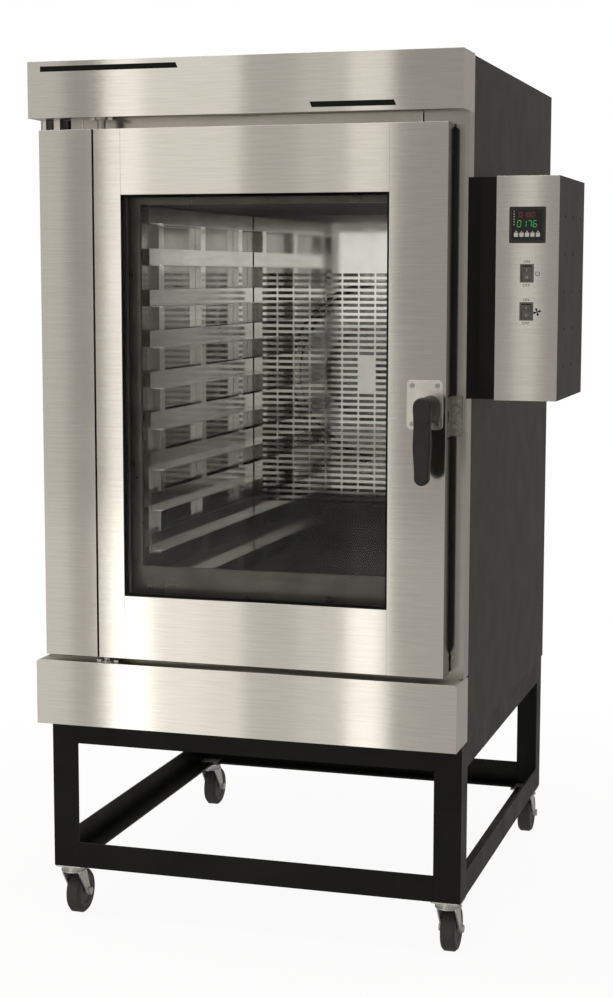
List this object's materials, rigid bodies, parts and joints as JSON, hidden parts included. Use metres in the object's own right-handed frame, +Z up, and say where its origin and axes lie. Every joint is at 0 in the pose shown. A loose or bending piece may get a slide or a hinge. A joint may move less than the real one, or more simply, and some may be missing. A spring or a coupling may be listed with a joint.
{
  "type": "convection oven",
  "caption": "Free-standing electric convection oven on a caster stand, with a glazed side-hung door, tray racks, a slotted fan guard and a side control box.",
  "frame": {"origin": "bottom centre of the overall box, on the floor under the casters", "axes": "+X to the viewer's right, where the control box is; +Y away from the door, into the cavity; +Z up"},
  "size_m": [1.1354, 1.202, 1.9075],
  "materials": {
    "stainless": "brushed",
    "liner_steel": "polished",
    "galvanised": "satin",
    "painted_sheet": "satin",
    "stand_paint": "satin",
    "zinc": "zinc plated",
    "wheel_rubber": "matte",
    "seal_rubber": "matte",
    "glass": "clear",
    "wool": "mineral wool",
    "element": "oxidised sheath",
    "motor_paint": "satin",
    "polished": "polished",
    "black_plastic": "moulded",
    "key_plastic": "moulded"
  },
  "bodies": {
    "cabinet": {"stand_legs": "stand_paint", "lower_rails": "stand_paint", "upper_rails": "stand_paint", "caster_plates": "zinc", "base_pan": "galvanised", "left_side_panel": "painted_sheet", "right_side_panel": "painted_sheet", "top_cover": "painted_sheet", "rear_cover": "painted_sheet", "hood": "stainless", "bottom_fascia": "stainless", "front_frame": "stainless", "hinge_column": "stainless", "cavity_liner": "liner_steel", "insulation": "wool", "door_seal": "seal_rubber", "fan_guard": "liner_steel", "heating_element": "element", "fan_motor": "motor_paint", "left_rack": "liner_steel", "right_rack": "liner_steel", "hinge_brackets": "galvanised", "keeper": "polished", "control_duct": "painted_sheet", "control_box": "painted_sheet", "control_front": "stainless", "controller": "black_plastic", "rocker_frames": "black_plastic", "cable_gland": "black_plastic"},
    "door": {"door_left_stile": "stainless", "door_right_stile": "stainless", "door_top_rail": "stainless", "door_bottom_rail": "stainless", "door_liner": "stainless", "inner_glass_frame": "stainless", "inner_glass": "glass", "outer_glass": "glass", "glazing_strips": "seal_rubber", "hinge_pins": "galvanised", "handle_plate": "polished", "handle_screws": "galvanised", "lock_case": "galvanised"},
    "lever": {"handle_lever": "black_plastic"},
    "latch": {"latch_bolt": "galvanised"},
    "fan": {"fan_wheel": "galvanised"},
    "power_switch": {"power_rocker": "black_plastic"},
    "fan_switch": {"fan_rocker": "black_plastic"},
    "menu_key": {"menu_key": "key_plastic"},
    "back_key": {"back_key": "key_plastic"},
    "down_key": {"down_key": "key_plastic"},
    "up_key": {"up_key": "key_plastic"},
    "set_key": {"set_key": "key_plastic"},
    "front_left_swivel": {"front_left_fork": "zinc"},
    "front_left_roller": {"front_left_wheel": "wheel_rubber"},
    "front_right_swivel": {"front_right_fork": "zinc"},
    "front_right_roller": {"front_right_wheel": "wheel_rubber"},
    "rear_left_swivel": {"rear_left_fork": "zinc"},
    "rear_left_roller": {"rear_left_wheel": "wheel_rubber"},
    "rear_right_swivel": {"rear_right_fork": "zinc"},
    "rear_right_roller": {"rear_right_wheel": "wheel_rubber"}
  },
  "joints": [
    {"name": "door_swing", "type": "hinge", "parent": "cabinet", "child": "door", "pos_m": [-0.40335, -0.509, 1.2], "axis": [0, 0, -1], "range_deg": [0, 110]},
    {"name": "lever_turn", "type": "hinge", "parent": "door", "child": "lever", "pos_m": [0.31625, -0.559, 1.188], "axis": [0, 1, 0], "range_deg": [0, 90]},
    {"name": "latch_slide", "type": "slide", "parent": "door", "child": "latch", "axis": [-1, 0, 0], "range_m": [0, 0.008]},
    {"name": "fan_spin", "type": "hinge", "parent": "cabinet", "child": "fan", "pos_m": [-0.02775, 0.363, 1.212], "axis": [0, 1, 0], "continuous": true},
    {"name": "power_switch_rock", "type": "hinge", "parent": "cabinet", "child": "power_switch", "pos_m": [0.50435, -0.485, 1.463], "axis": [-1, 0, 0], "range_deg": [0, 20]},
    {"name": "fan_switch_rock", "type": "hinge", "parent": "cabinet", "child": "fan_switch", "pos_m": [0.50435, -0.485, 1.387], "axis": [-1, 0, 0], "range_deg": [0, 20]},
    {"name": "menu_key_press", "type": "slide", "parent": "cabinet", "child": "menu_key", "axis": [0, 1, 0], "range_m": [0, 0.0006], "stiffness_N_per_m": 400},
    {"name": "back_key_press", "type": "slide", "parent": "cabinet", "child": "back_key", "axis": [0, 1, 0], "range_m": [0, 0.0006], "stiffness_N_per_m": 400},
    {"name": "down_key_press", "type": "slide", "parent": "cabinet", "child": "down_key", "axis": [0, 1, 0], "range_m": [0, 0.0006], "stiffness_N_per_m": 400},
    {"name": "up_key_press", "type": "slide", "parent": "cabinet", "child": "up_key", "axis": [0, 1, 0], "range_m": [0, 0.0006], "stiffness_N_per_m": 400},
    {"name": "set_key_press", "type": "slide", "parent": "cabinet", "child": "set_key", "axis": [0, 1, 0], "range_m": [0, 0.0006], "stiffness_N_per_m": 400},
    {"name": "front_left_turn", "type": "hinge", "parent": "cabinet", "child": "front_left_swivel", "pos_m": [-0.53175, -0.413, 0.11], "axis": [0, 0, 1], "continuous": true},
    {"name": "front_left_roll", "type": "hinge", "parent": "front_left_swivel", "child": "front_left_roller", "pos_m": [-0.53175, -0.378, 0.05], "axis": [1, 0, 0], "continuous": true},
    {"name": "front_right_turn", "type": "hinge", "parent": "cabinet", "child": "front_right_swivel", "pos_m": [0.34125, -0.413, 0.11], "axis": [0, 0, 1], "continuous": true},
    {"name": "front_right_roll", "type": "hinge", "parent": "front_right_swivel", "child": "front_right_roller", "pos_m": [0.34125, -0.378, 0.05], "axis": [1, 0, 0], "continuous": true},
    {"name": "rear_left_turn", "type": "hinge", "parent": "cabinet", "child": "rear_left_swivel", "pos_m": [-0.53175, 0.516, 0.11], "axis": [0, 0, 1], "continuous": true},
    {"name": "rear_left_roll", "type": "hinge", "parent": "rear_left_swivel", "child": "rear_left_roller", "pos_m": [-0.53175, 0.551, 0.05], "axis": [1, 0, 0], "continuous": true},
    {"name": "rear_right_turn", "type": "hinge", "parent": "cabinet", "child": "rear_right_swivel", "pos_m": [0.34125, 0.516, 0.11], "axis": [0, 0, 1], "continuous": true},
    {"name": "rear_right_roll", "type": "hinge", "parent": "rear_right_swivel", "child": "rear_right_roller", "pos_m": [0.34125, 0.551, 0.05], "axis": [1, 0, 0], "continuous": true}
  ],
  "couplings": [
    {"joint": "latch_slide", "follows": "lever_turn", "m_per_rad": 0.0050879}
  ]
}
